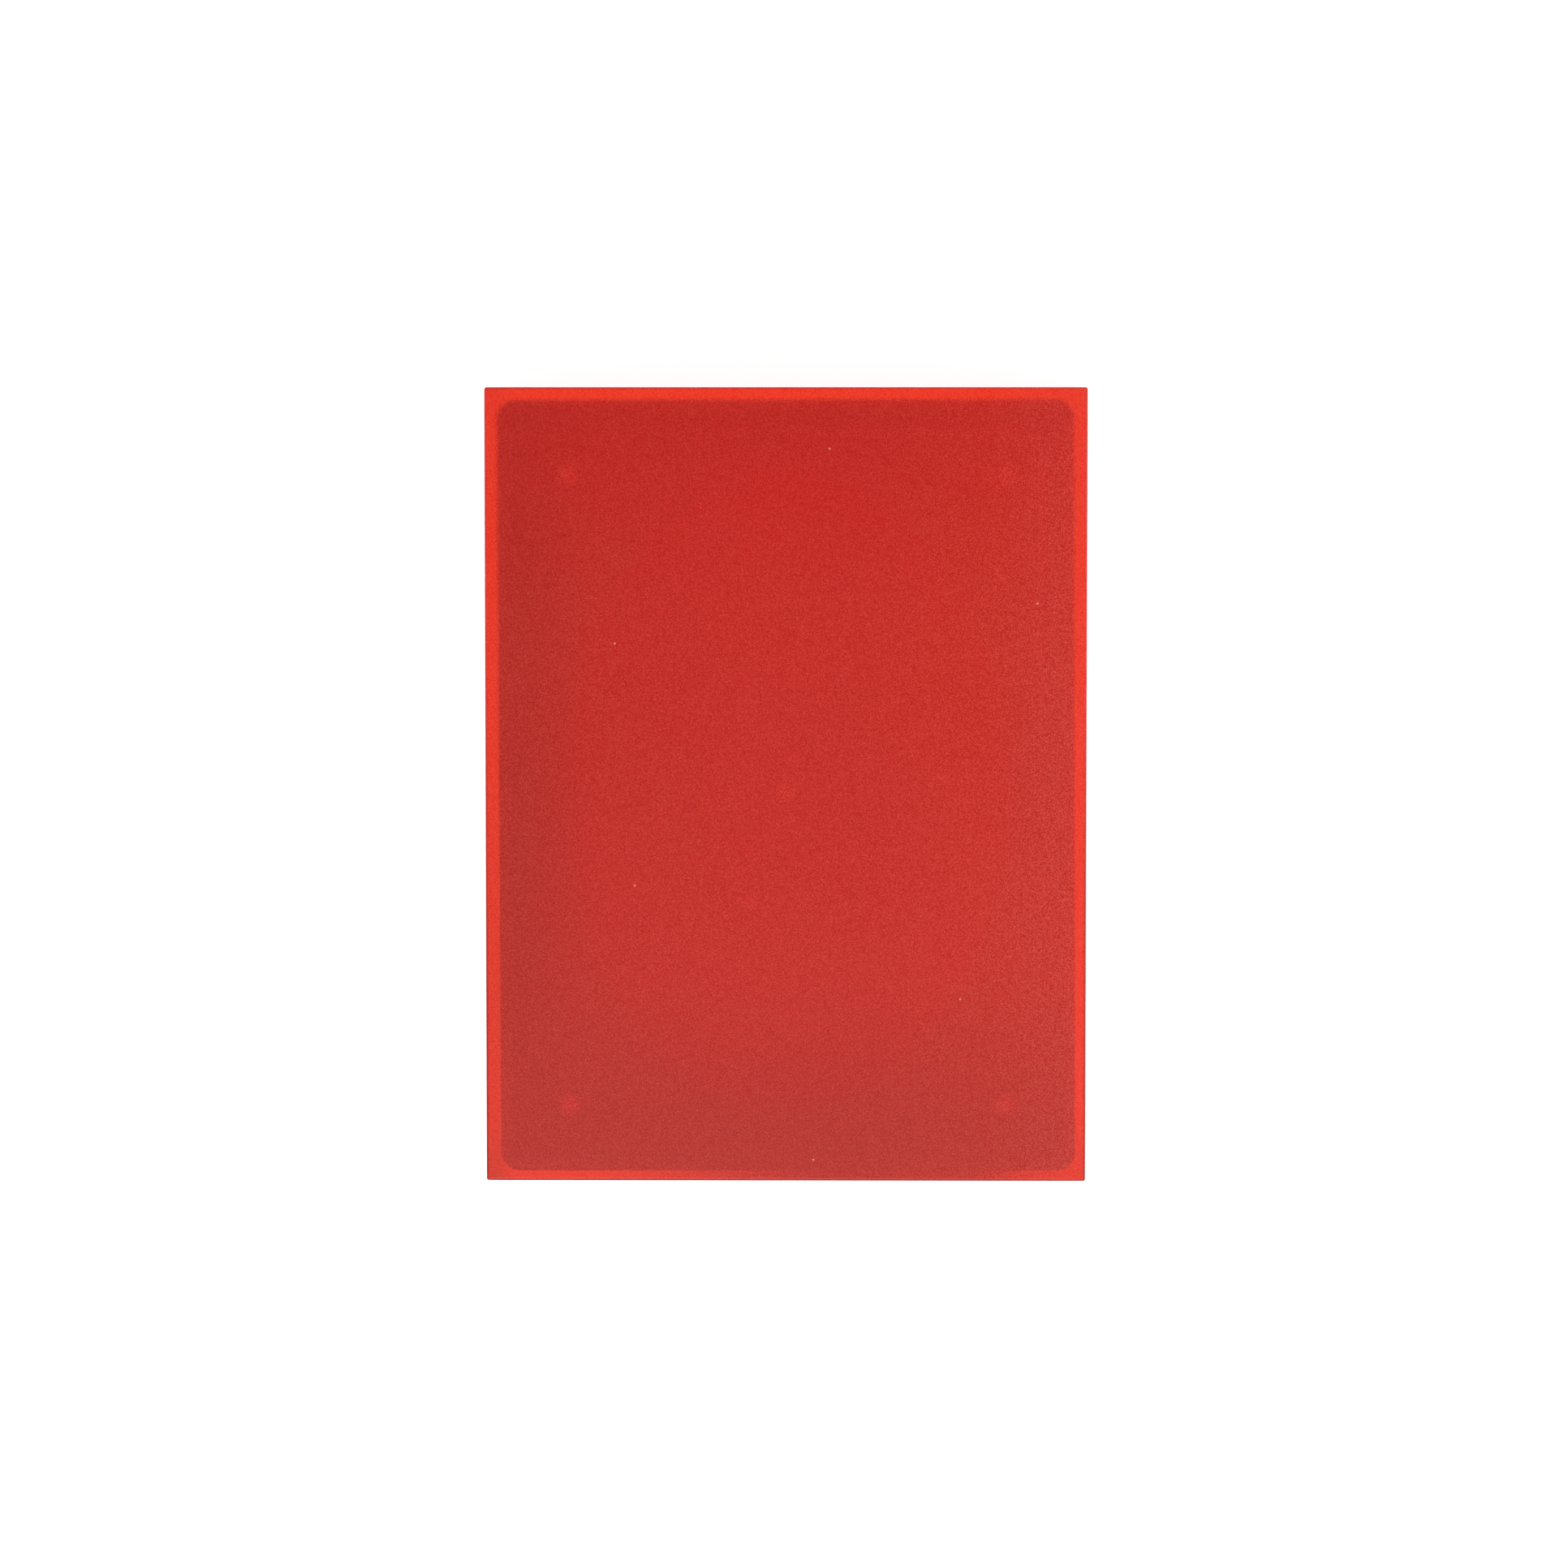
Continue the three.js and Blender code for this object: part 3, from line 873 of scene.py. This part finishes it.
# %% Tray
def make_tray():
    rings = wall(
        RECESS_OUTLINE,
        (5, RECESS_TOP, 0),
        (0, RECESS_TOP, LIP_EDGE),
        (0, 0, LIP_EDGE),
        (-1, 0, 0),
    )
    rings += wall(CASE_OUTLINE, (1, 0, 0), (0, 0, TOP_EDGE), (0, LEDGE, LIP_EDGE), (1, LEDGE, 0))
    rings += wall(
        RIM,
        (-1, LEDGE, 0),
        (0, LEDGE, LIP_EDGE),
        (0, RIM_TOP, LIP_EDGE),
        (1, RIM_TOP, 0),
    )
    rings += wall(
        WELL_OUTLINE,
        (-1, RIM_TOP, 0),
        (0, RIM_TOP, LIP_EDGE),
        (0, FLOOR_TOP, INNER_EDGE),
        (5, FLOOR_TOP, 0),
    )
    tray = loft("tray_shell", rings)
    x, y = DECK_WIDTH / 2 + RIB_AWAY, DECK_LENGTH / 2 + RIB_AWAY
    along_x, along_y = RIB_OFFSET * DECK_WIDTH, RIB_OFFSET * DECK_LENGTH
    z = FLOOR_TOP + RIB_HEIGHT / 2 - RIB_ROOT / 2
    tall = RIB_HEIGHT + RIB_ROOT
    side_rib, end_rib = (RIB_THICKNESS, RIB_LENGTH, tall), (RIB_LENGTH, RIB_THICKNESS, tall)
    grow(tray, ADD_BOXES, TRAY_FINISH, side_rib, (0, 0, z), (2 * x, 2 * along_y), (2, 2))
    grow(tray, ADD_BOXES, TRAY_FINISH, end_rib, (0, 0, z), (2 * along_x, 2 * y), (2, 2))
    bead_x = RIM[0] / 2 + BEAD_PROUD - BEAD_SIZE[0] / 2
    bead_span = (2 * bead_x, 2 * BEAD_Y)
    grow(tray, ADD_BEADS, TRAY_FINISH, BEAD_SIZE, (0, 0, BEAD_Z), bead_span, (2, 2), BEAD_SIDES)
    keep(tray, "base", "tray_plastic", "base_tray")


make_tray()

# %% [markdown]
# ## The pad's deck
#
# A white moulding lifts the pad above the tray's rim. It is open below, with one long web and three
# cross webs under its plate. Ink creeps over its edge from the pad, so its upper edge is stained.

# %% Deck finish
DECK_WHITE = (0.78, 0.76, 0.72, 1)
INK_STAIN = (0.50, 0.025, 0.035, 1)
STAIN_HEIGHT, STAIN_SPREAD, STAIN = (9.9, 11.6), 4.0, 0.85
DROP_EDGE, DROP = (0.74, 0.76), 0.5


def deck_finish():
    material, board, shader, at = new_material("satin_white_deck")
    _, _, z = board.parts(at)
    cloud = board.noise(at, 0.22, 4.0, 0.65)
    fine = board.noise(at, 1.6, 3.0)
    near_pad = (z + cloud * STAIN_SPREAD).step(*STAIN_HEIGHT)
    drops = board.noise(at, 0.7, 1.0).step(*DROP_EDGE) * DROP
    stain = near_pad.most(drops) * STAIN
    colour = board.mix(stain, DECK_WHITE, INK_STAIN)
    feed(
        shader,
        Base_Color=shaded(board, colour, (fine - 0.5) * 0.1 + 1.0),
        Roughness=(fine - 0.5) * 0.15 + 0.42,
        Normal=board.bump(fine, 0.15, 0.05 * MM),
        Subsurface_Weight=0.2,
        Subsurface_Scale=0.6 * MM,
    )
    return material


# %% Deck
def make_deck():
    finish = deck_finish()
    rings = wall(
        DECK_INSIDE,
        (5, DECK_TOP - DECK_PLATE, 0),
        (0, DECK_TOP - DECK_PLATE, LIP_EDGE),
        (0, FLOOR_TOP, LIP_EDGE),
        (-0.5, FLOOR_TOP, 0),
    )
    rings += wall(
        DECK_OUTLINE,
        (0.5, FLOOR_TOP, 0),
        (0, FLOOR_TOP, LIP_EDGE),
        (0, DECK_TOP, TOP_EDGE),
        (5, DECK_TOP, 0),
    )
    deck = loft("pad_deck", rings)
    low, high = FLOOR_TOP + LIP_EDGE, DECK_TOP - DECK_PLATE / 2
    z, tall = (low + high) / 2, high - low
    inside = DECK_INSIDE[0] + DECK_WALL, DECK_INSIDE[1] + DECK_WALL
    grow(deck, ADD_BOXES, finish, (DECK_WEB, inside[1], tall), (0, 0, z))
    pitch = (DECK_INSIDE[1] + DECK_WEB) / 4
    grow(deck, ADD_BOXES, finish, (inside[0], DECK_WEB, tall), (0, 0, z), (0, 2 * pitch), (1, 3))
    keep(deck, "base", "carrier_plastic", "pad_carrier")


make_deck()

# %% [markdown]
# ## The pad's woven cover
#
# Foam soaked in ink is wrapped in a fine plain weave, pulled over its edges, gathered at the
# corners and turned in under the board. The cover is one sheet, so it is made as the flat patches
# of a box that share their edges, each with the sheet's own coordinates as its UV map. The box is
# then rounded, and a cloth simulation with a little pressure gives it the swell of full foam. The
# gathers are raised after that, because the simulation would pull them smooth. Last, the sheet
# gets its thickness.

# %% The sheet as patches of a box
QUAD = 1.3
FINE_STOPS = (0.0, 0.35, 0.7, 1.05, 1.4, 1.8, 2.3, 2.9, 3.6, 4.4, 5.3, 6.5)
DROP_STOPS = (0.0, 0.35, 0.7, 1.05, 1.4, 2.2, 3.1, 4.0, 4.9, 5.7, 6.1)


def spaced(half):
    """Places from -half to half, closer together near the ends."""
    reach = half - FINE_STOPS[-1]
    count = round(2 * reach / QUAD)
    middle = [reach * (2 * k / count - 1) for k in range(1, count)]
    return [s - half for s in FINE_STOPS] + middle + [half - s for s in reversed(FINE_STOPS)]


def cover_patches():
    """Grids of (place on the box, place on the sheet)."""
    half_x, half_y, height = PAD_WIDTH / 2, PAD_LENGTH / 2, PAD_TOP - PAD_BOTTOM
    across, along = spaced(half_x), spaced(half_y)
    drop = (*DROP_STOPS, height)
    yield [[((x, y, PAD_TOP), (x, y)) for y in along] for x in across]
    for side in (-1, 1):
        yield [
            [((side * half_x, y, PAD_TOP - d), (side * (half_x + d), y)) for y in along]
            for d in drop
        ]
        yield [
            [((x, side * half_y, PAD_TOP - d), (x, side * (half_y + d))) for x in across]
            for d in drop
        ]
        rows_x = [(half_x - i, [y for y in along if abs(y) <= half_y - HEM]) for i in FINE_STOPS]
        yield [
            [((side * x, y, PAD_BOTTOM), (side * (2 * half_x + height - x), y)) for y in ys]
            for x, ys in rows_x
        ]
        rows_y = [(half_y - i, across) for i in FINE_STOPS]
        yield [
            [((x, side * y, PAD_BOTTOM), (x, side * (2 * half_y + height - y))) for x in xs]
            for y, xs in rows_y
        ]


# %% Rounding the box
def squared_to_round(a, b):
    """Takes a square's rim to a circle's, so a grid bends round an edge evenly."""
    size = math.hypot(a, b)
    return (a, b) if size == 0 else tuple(v / size * max(abs(a), abs(b)) for v in (a, b))


def rounded(place):
    """A place on the box's surface, moved to the box with round corners and edges.
    Returns the point, the way out from it, and how far down it is, from 0 to 1."""
    x, y, z = place
    core_x = max(min(x, PAD_WIDTH / 2 - PAD_CORNER), PAD_CORNER - PAD_WIDTH / 2)
    core_y = max(min(y, PAD_LENGTH / 2 - PAD_CORNER), PAD_CORNER - PAD_LENGTH / 2)
    off_x, off_y = squared_to_round(x - core_x, y - core_y)
    out = Vector((off_x, off_y))
    reach = out.length
    if reach > 1e-6:
        out /= reach
    upper, edge = (1, PAD_EDGE) if z > (PAD_TOP + PAD_BOTTOM) / 2 else (-1, PAD_UNDER_EDGE)
    end = PAD_TOP if upper > 0 else PAD_BOTTOM
    across, up = max(reach - PAD_CORNER + edge, 0), max(edge - upper * (end - z), 0)
    new_across, new_up = squared_to_round(across, up)
    moved = reach + new_across - across
    z += upper * (new_up - up)
    down = (PAD_TOP - z) / (PAD_TOP - PAD_BOTTOM)
    point = Vector((core_x, core_y, z)) + out.to_3d() * moved
    return point, out, down


# %% Gathers at the corners
# where the folds stand round a corner and how high, and how they fan, begin, grow and end
GATHERS = ((-4.4, 0.45), (-1.5, 0.85), (1.3, 0.9), (4.1, 0.5))
GATHER_WIDTH, GATHER_REACH = 0.75, 6.5
GATHER_FAN, GATHER_START, GATHER_GROWTH, GATHER_END = 0.35, 0.12, 1.9, 5


def gather(place, down):
    """How far the cloth stands out in the folds at a corner. They fan out on the way down."""
    corner_x, corner_y = PAD_WIDTH / 2 - PAD_CORNER, PAD_LENGTH / 2 - PAD_CORNER
    past_x, past_y = abs(place.x) - corner_x, abs(place.y) - corner_y
    if max(past_x, past_y) < 0 or min(past_x, past_y) < -GATHER_REACH:
        return 0.0
    angle = math.atan2(max(past_y, 0), max(past_x, 0))
    along = PAD_CORNER * (angle - math.pi / 4)
    if past_x < 0:
        along -= past_x
    elif past_y < 0:
        along += past_y
    rise = 0.0
    for middle, height in GATHERS:
        fanned = middle * (1 + GATHER_FAN * down)
        rise += height * math.exp(-(((along - fanned) / GATHER_WIDTH) ** 2))
    grown = max(0.0, min(1.0, down * GATHER_GROWTH - GATHER_START))
    return rise * grown * min(1.0, (1.0 - down) * GATHER_END)


# %% Cover mesh
def make_cover_mesh():
    """The smooth cover, and how far each of its points rises in a gather."""
    bm = bmesh.new()
    sheet = bm.loops.layers.uv.new("sheet")
    made, rises = {}, []

    def vertex(place):
        key = tuple(round(v, 3) for v in place)
        if key not in made:
            point, out, down = rounded(place)
            rises.append((out * gather(point, down) * MM).to_3d())
            made[key] = bm.verts.new(point * MM)
        return made[key]

    for grid in cover_patches():
        for first, second in zip(grid, grid[1:]):
            for k in range(len(first) - 1):
                ends = first[k], second[k], second[k + 1], first[k + 1]
                corners = [vertex(place) for place, _ in ends]
                if len(set(corners)) < 4 or bm.faces.get(corners):
                    continue
                face = bm.faces.new(corners)
                for loop, (_, uv) in zip(face.loops, ends):
                    loop[sheet].uv = uv
    bmesh.ops.recalc_face_normals(bm, faces=bm.faces)
    top = max(bm.faces, key=lambda face: face.calc_center_median().z)
    if top.normal.z < 0:
        bmesh.ops.reverse_faces(bm, faces=bm.faces)
    for face in bm.faces:
        face.smooth = True
    mesh = bpy.data.meshes.new("woven_cover")
    bm.to_mesh(mesh)
    bm.free()
    return mesh_object("woven_cover", mesh), np.array(rises)


cover, gathers = make_cover_mesh()
print("cover:", len(cover.data.vertices), "points")

# %% Swell of the pad
SIM_SCALE, SIM_FRAMES, SIM_QUALITY = 20, 20, 6
PRESSURE = 4.0
HELD_HEIGHT, SWELL = 1.2, 0.75  # how much of the lower edge stays, and how far the rest may go


def places(mesh):
    """The places of a mesh's points, one row for each."""
    flat = np.empty(len(mesh.vertices) * 3)
    mesh.vertices.foreach_get("co", flat)
    return flat.reshape(-1, 3)


def set_places(piece, points):
    piece.data.vertices.foreach_set("co", points.ravel())
    piece.data.update()


def swell(piece):
    """Blows the cover up a little, at a size that suits the solver. Its lower edge is held."""
    still = places(piece.data)
    held = piece.vertex_groups.new(name="held")
    low = (still[:, 2] < (PAD_BOTTOM + HELD_HEIGHT) * MM).nonzero()[0]
    held.add([int(k) for k in low], 1.0, "REPLACE")
    set_places(piece, still * SIM_SCALE)
    cloth = piece.modifiers.new("cloth", "CLOTH")
    cloth.settings.quality = SIM_QUALITY
    cloth.settings.vertex_group_mass = held.name
    cloth.settings.use_pressure = True
    cloth.settings.uniform_pressure_force = PRESSURE
    cloth.settings.effector_weights.gravity = 0
    cloth.point_cache.frame_start, cloth.point_cache.frame_end = 1, SIM_FRAMES
    for step in range(1, SIM_FRAMES + 1):
        bpy.context.scene.frame_set(step)
    moved = places(evaluated_mesh(piece)) / SIM_SCALE - still
    piece.modifiers.clear()
    bpy.context.scene.frame_set(1)
    far = np.linalg.norm(moved, axis=1).max()
    print(f"cloth moved up to {far / MM:.2f} mm, kept to {SWELL} mm")
    set_places(piece, still + moved * min(1.0, SWELL * MM / far))


swell(cover)
set_places(cover, places(cover.data) + gathers)

# %% [markdown]
# ## Inked cloth
#
# The weave is drawn in the sheet's own coordinates, so it follows the cloth over the edges. Each
# thread is a rounded ridge, and two sets of threads pass over and under each other in turn. The
# valleys between the threads are darker and shinier, and the cloth is unevenly soaked.

# %% Inked cloth
THREAD, WOBBLE, CROSSING = 0.5, 0.25, (-0.35, 0.35)
FIBRES, SOAKED = 9.0, (0.32, 0.68)
INK_DARK, INK_PALE = (0.22, 0.003, 0.006, 1), (0.56, 0.014, 0.016, 1)


def cloth_finish():
    material, board, shader, at = new_material("inked_weave")
    sheet = board.node("ShaderNodeUVMap", {"uv_map": "sheet"})
    u, v, _ = board.parts(sheet)
    wobble = (board.noise(sheet, 0.35, 2.0) - 0.5) * WOBBLE
    warp = ((u + wobble) * (math.pi / THREAD)).sine()
    weft = ((v + wobble) * (math.pi / THREAD)).sine()
    over = (warp * weft).step(*CROSSING)
    height = abs(warp) * over + abs(weft) * (1.0 - over)
    fibre = board.noise(at, FIBRES, 2.0)
    soaked = board.noise(at, 0.09, 4.0, 0.6).step(*SOAKED)
    paleness = (height * 0.8 + fibre * 0.3) * (1.0 - soaked * 0.35)
    feed(
        shader,
        Base_Color=board.mix(paleness, INK_DARK, INK_PALE),
        Roughness=height * 0.25 + (1.0 - soaked) * 0.12 + 0.42,
        Specular_IOR_Level=0.35,
        Normal=board.bump(height + fibre * 0.25, 0.9, 0.14 * MM),
        Coat_Weight=soaked * 0.06,
        Coat_Roughness=0.3,
    )
    return material


# %% Cover finished
def finish_cover(piece):
    piece.data.materials.append(cloth_finish())
    smooth = piece.modifiers.new("smooth", "SUBSURF")
    smooth.levels = smooth.render_levels = 1
    thick = piece.modifiers.new("thick", "SOLIDIFY")
    thick.thickness, thick.offset = CLOTH * MM, -1
    piece.data = evaluated_mesh(piece)
    piece.modifiers.clear()
    piece.vertex_groups.clear()
    keep(piece, "base", "inked_fabric", "pad_cover")
    print("cover:", len(piece.data.polygons), "faces")


finish_cover(cover)

# %% [markdown]
# ## What the cover hides, and the label
#
# The foam, the board and the film of glue are right as the model made them, so each only gets a
# finish. The label under the tray is blank paper with a thin printed frame and a patch of the
# ink's colour.

# %% Foam, board and glue
FOAM_WALL, FOAM_PORE = (0.42, 0.03, 0.035, 1), (0.12, 0.003, 0.006, 1)
BOARD_GREY, BOARD_INKED = (0.36, 0.32, 0.27, 1), (0.3, 0.05, 0.05, 1)
GLUE_THICK, GLUE_THIN = (0.72, 0.62, 0.42, 1), (0.84, 0.78, 0.6, 1)
PORES = 1.8  # per millimetre


def foam_finish():
    material, board, shader, at = new_material("soaked_foam")
    pores = board.node("ShaderNodeTexVoronoi", None, {"Vector": at, "Scale": PORES})
    open_cell = pores.step(0.5, 0.15)
    cloud = board.noise(at, 0.2, 3.0)
    colour = board.mix(open_cell, FOAM_WALL, FOAM_PORE)
    feed(
        shader,
        Base_Color=shaded(board, colour, cloud + 0.5),
        Roughness=cloud * 0.2 + 0.6,
        Normal=board.bump(1.0 - open_cell, 0.6, 0.2 * MM),
    )
    return material


def board_finish():
    material, board, shader, at = new_material("grey_board")
    fibre = board.noise(at, 2.2, 4.0, 0.7)
    inked = board.noise(at, 0.3, 3.0).step(0.5, 0.62) * 0.4
    colour = board.mix(inked, BOARD_GREY, BOARD_INKED)
    feed(
        shader,
        Base_Color=shaded(board, colour, fibre * 0.5 + 0.75),
        Roughness=0.9,
        Normal=board.bump(fibre, 0.3, 0.08 * MM),
    )
    return material


def glue_finish():
    material, board, shader, at = new_material("glue_film")
    ripple = board.noise(at, 0.5, 3.0)
    feed(
        shader,
        Base_Color=board.mix(ripple, GLUE_THICK, GLUE_THIN),
        Roughness=ripple * 0.2 + 0.2,
        Normal=board.bump(ripple, 0.3, 0.1 * MM),
        Coat_Weight=0.4,
    )
    return material


# %% Label
PAPER, PRINT = (0.82, 0.81, 0.77, 1), (0.52, 0.02, 0.02, 1)
PATCH_HALF, PATCH_Y, PATCH_CORNER = (16.0, 9.0), -22.0, 1.5
# the two sides of the frame, measured inwards from the label's edge
LABEL_CORNER, FRAME_INSIDE, FRAME_OUTSIDE = 2.0, (-2.9, -2.75), (-2.35, -2.5)


def label_finish():
    material, board, shader, at = new_material("printed_label")
    x, y, _ = board.parts(at)
    fibre = board.noise(at, 3.0, 4.0, 0.65)
    edge = rounded_box_distance(x, y, LABEL_WIDTH / 2, LABEL_LENGTH / 2, LABEL_CORNER)
    frame_line = edge.step(*FRAME_INSIDE) * edge.step(*FRAME_OUTSIDE)
    patch = rounded_box_distance(x, y - PATCH_Y, *PATCH_HALF, PATCH_CORNER).step(0.08, -0.08)
    ink = frame_line.most(patch) * (fibre * 0.2 + 0.85)
    paper = shaded(board, PAPER, fibre * 0.1 + 0.95)
    feed(
        shader,
        Base_Color=board.mix(ink, paper, PRINT),
        Roughness=fibre * 0.15 + 0.45,
        Normal=board.bump(fibre, 0.15, 0.03 * MM),
    )
    return material


def dress(node, finish):
    """Gives a node of the model a finish. Its mesh stays as it is."""
    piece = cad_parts[node]
    for slot in piece.material_slots:
        slot.material = finish
    print(f"{node}: {finish.name}")


dress("foam_core", foam_finish())
dress("backing_board", board_finish())
dress("adhesive_sheet", glue_finish())
dress("base_label", label_finish())
